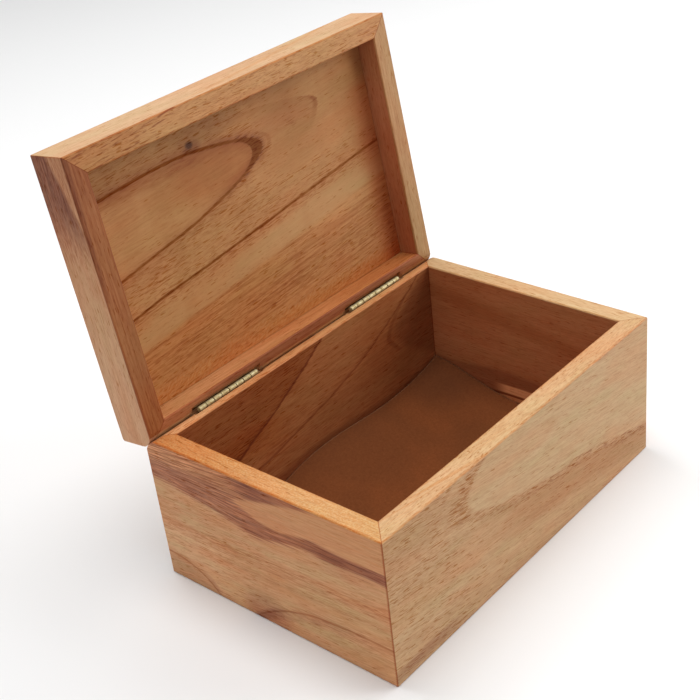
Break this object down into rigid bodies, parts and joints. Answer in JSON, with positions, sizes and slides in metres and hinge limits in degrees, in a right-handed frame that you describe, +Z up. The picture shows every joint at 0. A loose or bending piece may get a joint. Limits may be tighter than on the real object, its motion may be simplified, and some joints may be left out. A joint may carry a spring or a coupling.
{
  "type": "keepsake box",
  "caption": "Mitred hardwood keepsake box with a panelled lid held open on brass slot hinges and a loose soft liner on its floor.",
  "frame": {"origin": "centre of the box's underside, where it stands", "axes": "+X along the length to the right end, +Y from the front to the hinges at the back, +Z up"},
  "size_m": [0.2, 0.1682, 0.2032],
  "materials": {
    "long_wall_wood": "thin satin oil",
    "end_wall_wood": "thin satin oil",
    "bottom_wood": "plain",
    "lid_rail_wood": "thin satin oil",
    "lid_panel_wood": "thin satin oil",
    "hinge_brass": "plain bright",
    "liner_cloth": "napped"
  },
  "bodies": {
    "base": {"front_wall": "long_wall_wood", "back_wall": "long_wall_wood", "left_wall": "end_wall_wood", "right_wall": "end_wall_wood", "bottom_panel": "bottom_wood", "floor_liner": "liner_cloth", "left_hinge_base_leaf": "hinge_brass", "left_hinge_pin": "hinge_brass", "right_hinge_base_leaf": "hinge_brass", "right_hinge_pin": "hinge_brass"},
    "lid": {"left_hinge_lid_leaf": "hinge_brass", "right_hinge_lid_leaf": "hinge_brass", "lid_front_rail": "lid_rail_wood", "lid_back_rail": "lid_rail_wood", "lid_left_rail": "lid_rail_wood", "lid_right_rail": "lid_rail_wood", "lid_panel": "lid_panel_wood"}
  },
  "joints": [
    {"name": "lid_hinge", "type": "hinge", "parent": "base", "child": "lid", "pos_m": [0, 0.0624, 0.0751], "axis": [1, 0, 0], "range_deg": [0, 98]}
  ]
}
